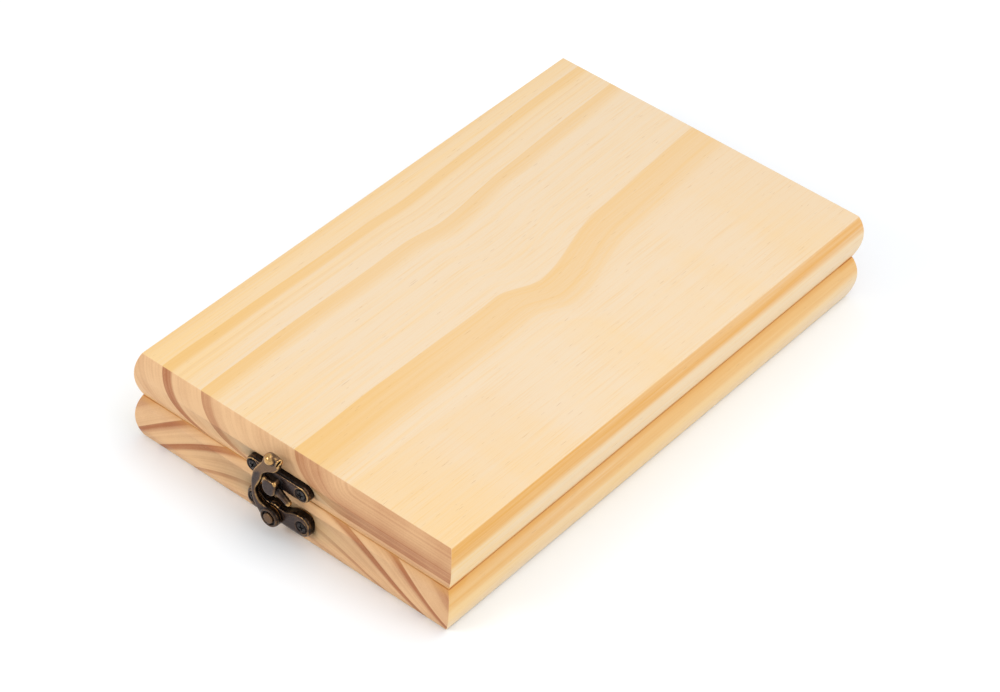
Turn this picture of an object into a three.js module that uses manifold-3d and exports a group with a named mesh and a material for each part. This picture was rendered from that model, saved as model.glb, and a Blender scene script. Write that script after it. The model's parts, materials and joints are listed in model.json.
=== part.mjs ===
// Hinged pine case for small art tools: two thick boards with rounded edges, milled hollow,
// joined by two butt hinges and closed by a swing-arm latch.
// Millimetres, +Z up. The origin is the centre of the base's bottom face and the latch faces -Y.
import * as THREE from "three";
import { mergeVertices } from "three/addons/utils/BufferGeometryUtils.js";
import Module from "manifold-3d";

// Case: overall sizes of the flat top and bottom faces, and the boards they belong to
const caseWidth = 126;
const caseLength = 210;
const baseThickness = 17.5;
const lidThickness = 17.5;
const seamGap = 0.3;
const edgeCrown = 2.0;

// Milled wells
const sideWall = 8;
const endWall = 10;
const baseFloor = 5;
const lidCeiling = 5;
const brushChannelWidth = 30;
const dividerWidth = 5;
const wellCornerRadius = 6;

// Latch plates, given by the distance of their edges from the seam
const plateLength = 25.8;
const plateThickness = 3.5;
const plateEdgeRound = 1.1;
const plateSeatDepth = 0.8;
const plateScrewSpacing = 19.6;
const catchPlateHeight = 5.9;
const catchPlateRise = 2.7;
const catchPlateOffset = -2.2;
const catchPlateEndRadius = 2.9;
const pivotPlateHeight = 8.3;
const pivotPlateDrop = 3.5;
const pivotPlateOffset = -1.6;
const pivotPlateEndRadius = 3.4;
const pivotPlateWaistDepth = 2.2;
const pivotPlateWaistLeft = -5.6;
const pivotPlateWaistRight = 3.6;
const waistShoulder = 1;
const waistBlend = 1.5;
const pivotBossRadius = 4.1;

// Catch horn on the upper plate
const hornWidth = 5.4;
const hornHeight = 6.3;
const hornReach = 3.2;
const hornTopRadius = 1.0;
const hornBottomRadius = 2.6;
const hornEdgeRound = 0.7;
const hornOffset = -2.7;
const hornRise = 4.25;
const hornTailLength = 5.4;
const hornTailDrop = 3.2;
const hornTailThickRadius = 1.25;
const hornTailThinRadius = 1.1;

// Swing arm and its rivet
const armThickness = 2.0;
const armEdgeRound = 0.5;
const armPivotOffset = -2.95;
const armPivotDrop = 9.15;
const armEyeRadius = 3.6;
const knobRadius = 1.75;
const knobOffset = 0;
const knobRise = 24.85;
const knobSink = 0.1;
const beakRadius = 1.25;
const beakOffset = 3.0;
const beakRise = 24.9;
const rivetRadius = 1.1;
const rivetHeadRadius = 1.9;
const rivetHeadHeight = 0.7;
const rivetCrownShare = 0.6;
const rivetShoulderShare = 0.95;
const rivetShoulderRise = 0.7;

// Butt hinges
const hingeSpacing = 76;
const hingeLength = 20;
const leafHeight = 8.4;
const leafThickness = 1.0;
const leafSeatDepth = 1.3;
const leafScrewSpacing = 12;
const leafScrewRise = 5.6;
const knuckleRadius = 1.7;
const knuckleCount = 3;
const hingePinRadius = 0.75;

// Screws
const latchScrewLength = 9.5;
const leafScrewLength = 7;
const screwShankRadius = 0.9;
const screwHeadRadius = 1.75;
const screwHeadHeight = 1.1;
const screwSink = 0.25;
const screwDomeHeight = 0.25;
const screwDomeShoulder = 0.2;
const screwDomeShare = 0.6;
const slotWidth = 0.5;
const slotLength = 2.2;
const slotDepth = 0.7;

// Fits
const seatClearance = 0.1;
const mortiseClearance = 0.3;
const holeClearance = 0.2;
const swingClearance = 0.3;
const knuckleClearance = 0.3;
const cutOverrun = 1;

// Fineness of the curves
const crownSegments = 14;
const outlineSegments = 8;
const armSegments = 4;
const wellSegments = 6;
const turnedSegments = 14;
const hingeSegments = 24;
const rodSegments = 12;
const rodEndSegments = 4;
const ballSegments = 16;
const ballRings = 10;
const edgeRoundSegments = 2;
const mergeDistance = 1e-4;

// Derived places
const seamHeight = baseThickness;
const totalHeight = baseThickness + lidThickness;
const halfWidth = caseWidth / 2;
const halfLength = caseLength / 2;
const crownExtent = halfLength + edgeCrown;
const plateSeatY = -(crownExtent - plateSeatDepth);
const plateBackY = plateSeatY - seatClearance;
const plateFrontY = plateBackY - plateThickness;
const armBackY = plateFrontY - swingClearance;
const armFrontY = armBackY - armThickness;
const leafSeatY = crownExtent - leafSeatDepth;
const leafBackY = leafSeatY + seatClearance;
const leafFrontY = leafBackY + leafThickness;
const hingeAxisY = Math.max(leafBackY + knuckleRadius, crownExtent + swingClearance);
const armPivotZ = seamHeight - armPivotDrop;
const catchPlateZ = seamHeight + catchPlateRise + catchPlateHeight / 2;
const pivotPlateZ = seamHeight - pivotPlateDrop - pivotPlateHeight / 2;

const pine = new THREE.MeshStandardMaterial({ color: 0xedc98f, roughness: 0.62, metalness: 0 });
const antiqueBrass = new THREE.MeshStandardMaterial({ color: 0x5b4a38, roughness: 0.42, metalness: 0.9 });
const darkSteel = new THREE.MeshStandardMaterial({ color: 0x3f3b38, roughness: 0.45, metalness: 0.9 });

const wasm = await Module();
wasm.setup();

// ---- Solids -------------------------------------------------------------------------------

function toSolid(geometry) {
  geometry.deleteAttribute("normal");
  geometry.deleteAttribute("uv");
  const merged = mergeVertices(geometry, mergeDistance);
  const vertProperties = new Float32Array(merged.attributes.position.array);
  const triVerts = new Uint32Array(merged.index.array);
  return new wasm.Manifold(new wasm.Mesh({ numProp: 3, vertProperties, triVerts }));
}

function toGeometry(solid) {
  const { vertProperties, triVerts } = solid.getMesh();
  const geometry = new THREE.BufferGeometry();
  geometry.setAttribute("position", new THREE.BufferAttribute(new Float32Array(vertProperties), 3));
  geometry.setIndex(new THREE.BufferAttribute(new Uint32Array(triVerts), 1));
  geometry.computeVertexNormals();
  return geometry;
}

function box(minX, maxX, minY, maxY, minZ, maxZ) {
  const geometry = new THREE.BoxGeometry(maxX - minX, maxY - minY, maxZ - minZ);
  geometry.translate((minX + maxX) / 2, (minY + maxY) / 2, (minZ + maxZ) / 2);
  return toSolid(geometry);
}

// A shape drawn in X and Z, extruded from backY towards the front (-Y).
// Its edges are rounded at both ends by edgeRound.
function extrudeForward(shape, backY, frontY, edgeRound = 0, curveSegments = outlineSegments) {
  const length = backY - frontY;
  const geometry = new THREE.ExtrudeGeometry(shape, {
    depth: length - 2 * edgeRound,
    bevelEnabled: edgeRound > 0,
    bevelThickness: edgeRound,
    bevelSize: edgeRound,
    bevelOffset: -edgeRound,
    bevelSegments: edgeRoundSegments,
    curveSegments,
  });
  geometry.rotateX(Math.PI / 2);
  geometry.translate(0, backY - edgeRound, 0);
  return toSolid(geometry);
}

// A profile of radius against height, turned about the Y axis. Outward is +1 for the back end
// of the case and -1 for the latch end.
function turned(profile, x, y, z, outward) {
  const geometry = new THREE.LatheGeometry(profile, turnedSegments);
  if (outward < 0) {
    geometry.rotateZ(Math.PI);
  }
  geometry.translate(x, y, z);
  return toSolid(geometry);
}

// A rod with rounded ends that tapers from one radius to the other between two points.
function taperedRod(start, end, startRadius, endRadius) {
  const length = start.distanceTo(end);
  const outline = new THREE.Path();
  outline.absarc(0, 0, startRadius, -Math.PI / 2, 0, false);
  outline.lineTo(endRadius, length);
  outline.absarc(0, length, endRadius, 0, Math.PI / 2, false);
  const points = outline.getPoints(rodEndSegments);
  points[0].x = 0;
  points[points.length - 1].x = 0;
  const geometry = new THREE.LatheGeometry(points, rodSegments);
  const direction = new THREE.Vector3().subVectors(end, start).normalize();
  const turn = new THREE.Quaternion().setFromUnitVectors(new THREE.Vector3(0, 1, 0), direction);
  geometry.applyQuaternion(turn);
  geometry.translate(start.x, start.y, start.z);
  return toSolid(geometry);
}

function sphere(x, y, z, radius) {
  const geometry = new THREE.SphereGeometry(radius, ballSegments, ballRings);
  geometry.translate(x, y, z);
  return toSolid(geometry);
}

function roundedRectangle(minX, maxX, minY, maxY, radius, topRadius = radius) {
  const shape = new THREE.Shape();
  shape.absarc(maxX - radius, minY + radius, radius, -Math.PI / 2, 0, false);
  shape.absarc(maxX - topRadius, maxY - topRadius, topRadius, 0, Math.PI / 2, false);
  shape.absarc(minX + topRadius, maxY - topRadius, topRadius, Math.PI / 2, Math.PI, false);
  shape.absarc(minX + radius, minY + radius, radius, Math.PI, 1.5 * Math.PI, false);
  return shape;
}

const group = new THREE.Group();

function addPiece(name, solid, material) {
  const mesh = new THREE.Mesh(toGeometry(solid), material);
  mesh.name = name;
  group.add(mesh);
}

// ---- Case boards --------------------------------------------------------------------------

// Cross-section of a board: flat faces, and edges that are one shallow arc from face to face.
function crownedSection(halfSpan, bottom, top) {
  const halfHeight = (top - bottom) / 2;
  const middle = bottom + halfHeight;
  const radius = (halfHeight ** 2 + edgeCrown ** 2) / (2 * edgeCrown);
  const sweep = Math.asin(halfHeight / radius);
  const inset = radius - edgeCrown;
  const section = new THREE.Shape();
  section.absarc(halfSpan - inset, middle, radius, -sweep, sweep, false);
  section.absarc(-halfSpan + inset, middle, radius, Math.PI - sweep, Math.PI + sweep, false);
  return section;
}

// A board is the part common to a crowned bar along Y and one along X, which mitres its corners.
function crownedBoard(bottom, top) {
  const reach = crownExtent + cutOverrun;
  const section = crownedSection(halfWidth, bottom, top);
  const lengthwise = extrudeForward(section, reach, -reach, 0, crownSegments);
  const crossGeometry = new THREE.ExtrudeGeometry(crownedSection(halfLength, bottom, top), {
    depth: 2 * (halfWidth + edgeCrown + cutOverrun),
    bevelEnabled: false,
    curveSegments: crownSegments,
  });
  const alongX = new THREE.Matrix4().makeBasis(
    new THREE.Vector3(0, 1, 0),
    new THREE.Vector3(0, 0, 1),
    new THREE.Vector3(1, 0, 0),
  );
  crossGeometry.applyMatrix4(alongX);
  crossGeometry.translate(-(halfWidth + edgeCrown + cutOverrun), 0, 0);
  return lengthwise.intersect(toSolid(crossGeometry));
}

function well(minX, maxX, bottom, top) {
  const innerY = halfLength - endWall;
  const outline = roundedRectangle(minX, maxX, -innerY, innerY, wellCornerRadius);
  const geometry = new THREE.ExtrudeGeometry(outline, {
    depth: top - bottom,
    bevelEnabled: false,
    curveSegments: wellSegments,
  });
  geometry.translate(0, 0, bottom);
  return toSolid(geometry);
}

// ---- Latch outlines -----------------------------------------------------------------------

function catchPlateOutline(margin) {
  return roundedRectangle(
    catchPlateOffset - plateLength / 2 - margin,
    catchPlateOffset + plateLength / 2 + margin,
    catchPlateZ - catchPlateHeight / 2 - margin,
    catchPlateZ + catchPlateHeight / 2 + margin,
    catchPlateEndRadius + margin,
  );
}

// The lower plate has a waist in its top edge, between the lobes that hold its screws.
function pivotPlateOutline(margin) {
  const left = pivotPlateOffset - plateLength / 2 - margin;
  const right = pivotPlateOffset + plateLength / 2 + margin;
  const bottom = pivotPlateZ - pivotPlateHeight / 2 - margin;
  const top = pivotPlateZ + pivotPlateHeight / 2 + margin;
  const waist = top - pivotPlateWaistDepth;
  const waistLeft = pivotPlateOffset + pivotPlateWaistLeft + margin;
  const waistRight = pivotPlateOffset + pivotPlateWaistRight - margin;
  const radius = pivotPlateEndRadius + margin;
  const shape = new THREE.Shape();
  shape.absarc(right - radius, bottom + radius, radius, -Math.PI / 2, 0, false);
  shape.absarc(right - radius, top - radius, radius, 0, Math.PI / 2, false);
  const outerRight = waistRight + waistShoulder;
  const outerLeft = waistLeft - waistShoulder;
  shape.bezierCurveTo(outerRight, top, outerRight, waist, waistRight - waistBlend, waist);
  shape.lineTo(waistLeft + waistBlend, waist);
  shape.bezierCurveTo(outerLeft, waist, outerLeft, top, left + radius, top);
  shape.absarc(left + radius, top - radius, radius, Math.PI / 2, Math.PI, false);
  shape.absarc(left + radius, bottom + radius, radius, Math.PI, 1.5 * Math.PI, false);
  return shape;
}

function disc(x, z, radius) {
  const shape = new THREE.Shape();
  shape.absarc(x, z, radius, 0, 2 * Math.PI, false);
  return shape;
}

// The arm curls left from its eye, rises past the horn and leans right into its head.
function armOutline() {
  const at = (u, v) => new THREE.Vector2(armPivotOffset + u, armPivotZ + v);
  const shape = new THREE.Shape();
  const eyeTop = 0.5 * Math.PI;
  const eyeBottom = -0.2 * Math.PI;
  const eyeLeft = -0.9 * Math.PI;
  shape.absarc(armPivotOffset, armPivotZ, armEyeRadius, eyeTop, eyeBottom, true);
  shape.absarc(armPivotOffset, armPivotZ, armEyeRadius, eyeBottom, eyeLeft, true);
  shape.splineThru([
    at(-6.7, 3.4),
    at(-7.7, 8.3),
    at(-7.6, 12.4),
    at(-6.7, 16.3),
    at(-4.9, 19.4),
    at(-3.3, 22.0),
    at(-2.6, 24.6),
    at(-1.2, 26.1),
    at(0.9, 26.5),
    at(2.9, 26.0),
    at(3.8, 24.3),
    at(3.3, 22.0),
    at(1.7, 19.9),
    at(-0.9, 18.5),
    at(-2.9, 16.6),
    at(-3.5, 14.2),
    at(-4.6, 11.4),
    at(-5.8, 8.6),
    at(-5.4, 6.0),
    at(-3.9, 4.2),
    at(-1.7, 3.6),
    at(0, armEyeRadius),
  ]);
  return shape;
}

// ---- Screws -------------------------------------------------------------------------------

function screwProfile(length, growth) {
  const head = screwHeadRadius + growth;
  const shank = screwShankRadius + growth;
  return [
    new THREE.Vector2(0, -length - growth),
    new THREE.Vector2(shank, -length + 2 * screwShankRadius - growth),
    new THREE.Vector2(shank, -screwHeadHeight - growth),
    new THREE.Vector2(head, -growth),
  ];
}

function screw(length, x, y, z, outward) {
  const profile = screwProfile(length, 0);
  profile.push(
    new THREE.Vector2(screwHeadRadius * screwDomeShare, screwDomeShoulder),
    new THREE.Vector2(0, screwDomeHeight),
  );
  const slotHalf = slotLength / 2;
  const slotTop = y + outward * cutOverrun;
  const slotBottom = y - outward * slotDepth;
  const slotMinY = Math.min(slotTop, slotBottom);
  const slotMaxY = Math.max(slotTop, slotBottom);
  const halfSlot = slotWidth / 2;
  return turned(profile, x, y, z, outward)
    .subtract(box(x - slotHalf, x + slotHalf, slotMinY, slotMaxY, z - halfSlot, z + halfSlot))
    .subtract(box(x - halfSlot, x + halfSlot, slotMinY, slotMaxY, z - slotHalf, z + slotHalf));
}

// The space a screw needs: its own shape plus clearance, open above the head.
function screwHole(length, x, y, z, outward) {
  const profile = screwProfile(length, holeClearance);
  const openTop = screwSink + 3 * cutOverrun;
  profile.push(
    new THREE.Vector2(screwHeadRadius + holeClearance, openTop),
    new THREE.Vector2(0, openTop),
  );
  return turned(profile, x, y, z, outward);
}

// ---- Places of the repeated pieces --------------------------------------------------------

const latchScrewY = plateFrontY + screwSink;
const leafScrewY = leafFrontY - screwSink;
const sides = [
  { side: "left", sign: -1 },
  { side: "right", sign: 1 },
];
const catchScrews = sides.map(({ side, sign }) => ({
  name: `catch_screw_${side}`,
  x: catchPlateOffset + (sign * plateScrewSpacing) / 2,
  z: catchPlateZ,
}));
const pivotScrews = sides.map(({ side, sign }) => ({
  name: `pivot_plate_screw_${side}`,
  x: pivotPlateOffset + (sign * plateScrewSpacing) / 2,
  z: pivotPlateZ,
}));
const hinges = sides.map(({ side, sign }) => ({
  side,
  x: (sign * hingeSpacing) / 2,
}));

function leafScrews(hinge, half) {
  const rise = half === "lid" ? leafScrewRise : -leafScrewRise;
  return [-1, 1].map((sign, index) => ({
    name: `${half}_hinge_screw_${hinge.side}_${index + 1}`,
    x: hinge.x + (sign * leafScrewSpacing) / 2,
    z: seamHeight + rise,
  }));
}

// ---- Hinges -------------------------------------------------------------------------------

function leafMortise(hinge, half) {
  const reach = leafHeight + mortiseClearance;
  const halfSpan = hingeLength / 2 + mortiseClearance;
  const minZ = half === "lid" ? seamHeight - cutOverrun : seamHeight - reach;
  const maxZ = half === "lid" ? seamHeight + reach : seamHeight + cutOverrun;
  return box(hinge.x - halfSpan, hinge.x + halfSpan, leafSeatY, crownExtent + cutOverrun, minZ, maxZ);
}

function axisCylinder(radius, minX, maxX) {
  const geometry = new THREE.CylinderGeometry(radius, radius, maxX - minX, hingeSegments);
  geometry.rotateZ(Math.PI / 2);
  geometry.translate((minX + maxX) / 2, hingeAxisY, seamHeight);
  return toSolid(geometry);
}

// The base leaf holds the outer knuckles and the lid leaf the ones between them.
function hingeLeaf(hinge, half) {
  const pitch = hingeLength / knuckleCount;
  const minX = hinge.x - hingeLength / 2;
  const owned = half === "base" ? 0 : 1;
  const minZ = half === "lid" ? seamHeight : seamHeight - leafHeight;
  const maxZ = half === "lid" ? seamHeight + leafHeight : seamHeight;
  let leaf = box(minX, minX + hingeLength, leafBackY, leafFrontY, minZ, maxZ);
  for (let index = 0; index < knuckleCount; index += 1) {
    const from = minX + index * pitch;
    if (index % 2 === owned) {
      const first = index === 0 ? 0 : knuckleClearance / 2;
      const last = index === knuckleCount - 1 ? 0 : knuckleClearance / 2;
      leaf = leaf.add(axisCylinder(knuckleRadius, from + first, from + pitch - last));
    }
  }
  for (let index = 0; index < knuckleCount; index += 1) {
    if (index % 2 !== owned) {
      const from = minX + index * pitch;
      const space = knuckleClearance / 2;
      const room = knuckleRadius + knuckleClearance;
      leaf = leaf.subtract(axisCylinder(room, from - space, from + pitch + space));
    }
  }
  leaf = leaf.subtract(
    axisCylinder(hingePinRadius + holeClearance, minX - cutOverrun, minX + hingeLength + cutOverrun),
  );
  for (const { x, z } of leafScrews(hinge, half)) {
    leaf = leaf.subtract(screwHole(leafScrewLength, x, leafScrewY, z, 1));
  }
  return leaf;
}

// ---- Assembly -----------------------------------------------------------------------------

const wellLeft = -halfWidth + sideWall;
const wellRight = halfWidth - sideWall;
const dividerLeft = wellLeft + brushChannelWidth;
const baseTop = seamHeight - seamGap / 2;
const lidBottom = seamHeight + seamGap / 2;

let baseShell = crownedBoard(0, baseTop)
  .subtract(well(wellLeft, dividerLeft, baseFloor, baseTop + cutOverrun))
  .subtract(well(dividerLeft + dividerWidth, wellRight, baseFloor, baseTop + cutOverrun));
let lidShell = crownedBoard(lidBottom, totalHeight)
  .subtract(well(wellLeft, wellRight, lidBottom - cutOverrun, totalHeight - lidCeiling));

// Flat seats for the latch plates, and room behind the rivet's tail
const seatFrontY = -(crownExtent + cutOverrun);
lidShell = lidShell.subtract(
  extrudeForward(catchPlateOutline(mortiseClearance), plateSeatY, seatFrontY),
);
baseShell = baseShell
  .subtract(extrudeForward(pivotPlateOutline(mortiseClearance), plateSeatY, seatFrontY))
  .subtract(
    extrudeForward(
      disc(armPivotOffset, armPivotZ, pivotBossRadius + mortiseClearance),
      plateSeatY,
      seatFrontY,
    ),
  );

// Upper plate with its horn and tail
const hornFrontY = plateFrontY - hornReach;
const hornZ = seamHeight + hornRise;
const hornOutline = roundedRectangle(
  hornOffset - hornWidth / 2,
  hornOffset + hornWidth / 2,
  hornZ - hornHeight / 2,
  hornZ + hornHeight / 2,
  hornBottomRadius,
  hornTopRadius,
);
const plateCut = box(
  -halfWidth,
  halfWidth,
  plateBackY,
  plateBackY + plateThickness,
  0,
  totalHeight,
);
const tailStart = new THREE.Vector3(hornOffset + hornWidth / 4, plateFrontY - hornTailThickRadius, hornZ);
const tailEnd = new THREE.Vector3(tailStart.x + hornTailLength, tailStart.y, hornZ - hornTailDrop);
let catchPlate = extrudeForward(
  catchPlateOutline(0),
  plateBackY + plateEdgeRound,
  plateFrontY,
  plateEdgeRound,
)
  .add(extrudeForward(hornOutline, plateBackY - plateEdgeRound, hornFrontY, hornEdgeRound))
  .add(taperedRod(tailStart, tailEnd, hornTailThickRadius, hornTailThinRadius))
  .subtract(plateCut);

// Lower plate with its round pivot boss
let pivotPlate = extrudeForward(
  pivotPlateOutline(0),
  plateBackY + plateEdgeRound,
  plateFrontY,
  plateEdgeRound,
)
  .add(
    extrudeForward(
      disc(armPivotOffset, armPivotZ, pivotBossRadius),
      plateBackY + plateEdgeRound,
      plateFrontY,
      plateEdgeRound,
    ),
  )
  .subtract(plateCut);

for (const { x, z } of catchScrews) {
  const hole = screwHole(latchScrewLength, x, latchScrewY, z, -1);
  catchPlate = catchPlate.subtract(hole);
  lidShell = lidShell.subtract(hole);
}
for (const { x, z } of pivotScrews) {
  const hole = screwHole(latchScrewLength, x, latchScrewY, z, -1);
  pivotPlate = pivotPlate.subtract(hole);
  baseShell = baseShell.subtract(hole);
}
for (const hinge of hinges) {
  baseShell = baseShell.subtract(leafMortise(hinge, "base"));
  lidShell = lidShell.subtract(leafMortise(hinge, "lid"));
  for (const { x, z } of leafScrews(hinge, "base")) {
    baseShell = baseShell.subtract(screwHole(leafScrewLength, x, leafScrewY, z, 1));
  }
  for (const { x, z } of leafScrews(hinge, "lid")) {
    lidShell = lidShell.subtract(screwHole(leafScrewLength, x, leafScrewY, z, 1));
  }
}

// Rivet: a domed head in front of the arm and a shank that ends flush with the plate's back
const rivetShankLength = armThickness + swingClearance + plateThickness;
const rivetProfile = [
  new THREE.Vector2(0, -rivetShankLength),
  new THREE.Vector2(rivetRadius, -rivetShankLength),
  new THREE.Vector2(rivetRadius, holeClearance),
  new THREE.Vector2(rivetHeadRadius, holeClearance),
  new THREE.Vector2(rivetHeadRadius * rivetShoulderShare, rivetHeadHeight * rivetShoulderRise),
  new THREE.Vector2(rivetHeadRadius * rivetCrownShare, rivetHeadHeight),
  new THREE.Vector2(0, rivetHeadHeight),
];
const rivetHole = extrudeForward(
  disc(armPivotOffset, armPivotZ, rivetRadius + holeClearance),
  plateBackY + cutOverrun,
  armFrontY - cutOverrun,
);
pivotPlate = pivotPlate.subtract(rivetHole);

const knobY = armFrontY + knobSink;
const beakY = (armFrontY + armBackY) / 2;
const knobSpace = box(-halfWidth, halfWidth, armBackY, armBackY + knobRadius, 0, 2 * totalHeight);
const swingArm = extrudeForward(armOutline(), armBackY, armFrontY, armEdgeRound, armSegments)
  .add(sphere(armPivotOffset + knobOffset, knobY, armPivotZ + knobRise, knobRadius))
  .add(sphere(armPivotOffset + beakOffset, beakY, armPivotZ + beakRise, beakRadius))
  .subtract(knobSpace)
  .subtract(rivetHole);

addPiece("base_shell", baseShell, pine);
addPiece("lid_shell", lidShell, pine);
addPiece("catch_plate", catchPlate, antiqueBrass);
addPiece("pivot_plate", pivotPlate, antiqueBrass);
addPiece("swing_arm", swingArm, antiqueBrass);
addPiece("arm_rivet", turned(rivetProfile, armPivotOffset, armFrontY, armPivotZ, -1), antiqueBrass);
for (const { name, x, z } of [...catchScrews, ...pivotScrews]) {
  addPiece(name, screw(latchScrewLength, x, latchScrewY, z, -1), darkSteel);
}
for (const hinge of hinges) {
  const minX = hinge.x - hingeLength / 2;
  addPiece(`hinge_pin_${hinge.side}`, axisCylinder(hingePinRadius, minX, minX + hingeLength), darkSteel);
  for (const half of ["base", "lid"]) {
    addPiece(`${half}_hinge_leaf_${hinge.side}`, hingeLeaf(hinge, half), antiqueBrass);
    for (const { name, x, z } of leafScrews(hinge, half)) {
      addPiece(name, screw(leafScrewLength, x, leafScrewY, z, 1), darkSteel);
    }
  }
}

export default group;
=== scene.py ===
"""Looks of a hinged pine art case with a swing-arm latch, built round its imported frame."""

import json
import logging
import math
from collections.abc import Callable, Iterator, Mapping, Sequence
from contextlib import contextmanager
from dataclasses import dataclass, field
from enum import Enum
from typing import Any

import bmesh
import bpy
import numpy as np
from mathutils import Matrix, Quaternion, Vector

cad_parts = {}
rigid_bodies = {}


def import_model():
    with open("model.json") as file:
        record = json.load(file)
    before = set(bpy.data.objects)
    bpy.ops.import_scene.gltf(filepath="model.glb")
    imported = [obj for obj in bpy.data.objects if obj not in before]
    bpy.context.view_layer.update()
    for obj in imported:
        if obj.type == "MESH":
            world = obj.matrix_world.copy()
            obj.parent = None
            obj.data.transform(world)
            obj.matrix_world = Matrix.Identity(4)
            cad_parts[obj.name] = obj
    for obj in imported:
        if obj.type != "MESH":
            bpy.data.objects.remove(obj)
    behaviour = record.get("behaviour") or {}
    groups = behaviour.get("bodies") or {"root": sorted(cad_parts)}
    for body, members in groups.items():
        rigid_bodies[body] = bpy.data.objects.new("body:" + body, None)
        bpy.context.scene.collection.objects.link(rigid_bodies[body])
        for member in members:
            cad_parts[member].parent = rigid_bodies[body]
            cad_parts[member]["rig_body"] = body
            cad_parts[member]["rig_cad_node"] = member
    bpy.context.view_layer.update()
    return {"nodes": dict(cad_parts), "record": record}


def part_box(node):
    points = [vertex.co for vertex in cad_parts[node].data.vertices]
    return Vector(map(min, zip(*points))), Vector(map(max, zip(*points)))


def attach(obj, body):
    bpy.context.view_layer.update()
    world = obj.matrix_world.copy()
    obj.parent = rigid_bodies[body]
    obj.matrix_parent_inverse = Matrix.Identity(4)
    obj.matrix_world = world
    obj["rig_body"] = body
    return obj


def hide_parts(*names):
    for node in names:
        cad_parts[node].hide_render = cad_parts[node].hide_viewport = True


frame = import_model()

log = logging.getLogger("art_case")

MM = 0.001
PER_MM = 1 / MM
# Heights closer than this are the same, and closer points are one
MERGE = 1e-7
# How much of a direction lies along an axis that it counts as parallel to
PARALLEL = 0.9
Colour = tuple[float, float, float, float]
Span = tuple[float, float]
Place = tuple[float, float, float]
Piece = bpy.types.Object
Socket = bpy.types.NodeSocket


class Body(Enum):
    """The moving bodies of the case."""

    BASE = "base"
    LID = "lid"
    ARM = "latch_arm"


class Slot(Enum):
    """The material slots of the record."""

    PINE = "pine"
    BRASS = "antique_brass"
    STEEL = "screw_steel"


class Axis(Enum):
    """Directions that a turned piece can point to."""

    X = (0.0, math.pi / 2, 0.0)
    FRONT = (math.pi / 2, 0.0, 0.0)


def shade(red: float, green: float, blue: float) -> Colour:
    """Turns display levels from 0 to 255 into a linear colour with full alpha."""
    # The curve of sRGB, without the straight part that only blacker colours need
    linear = [((level / 255 + 0.055) / 1.055) ** 2.4 for level in (red, green, blue)]
    return (linear[0], linear[1], linear[2], 1.0)


def middle_of(node: str) -> Vector:
    """Gives the middle of a frame node's box."""
    low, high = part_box(node)
    return (low + high) / 2


def at_depth(place: Vector, depth: float) -> Vector:
    """Moves a place along Y."""
    return Vector((place.x, depth, place.z))


# ---- Modelling operations ---------------------------------------------------------------


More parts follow.
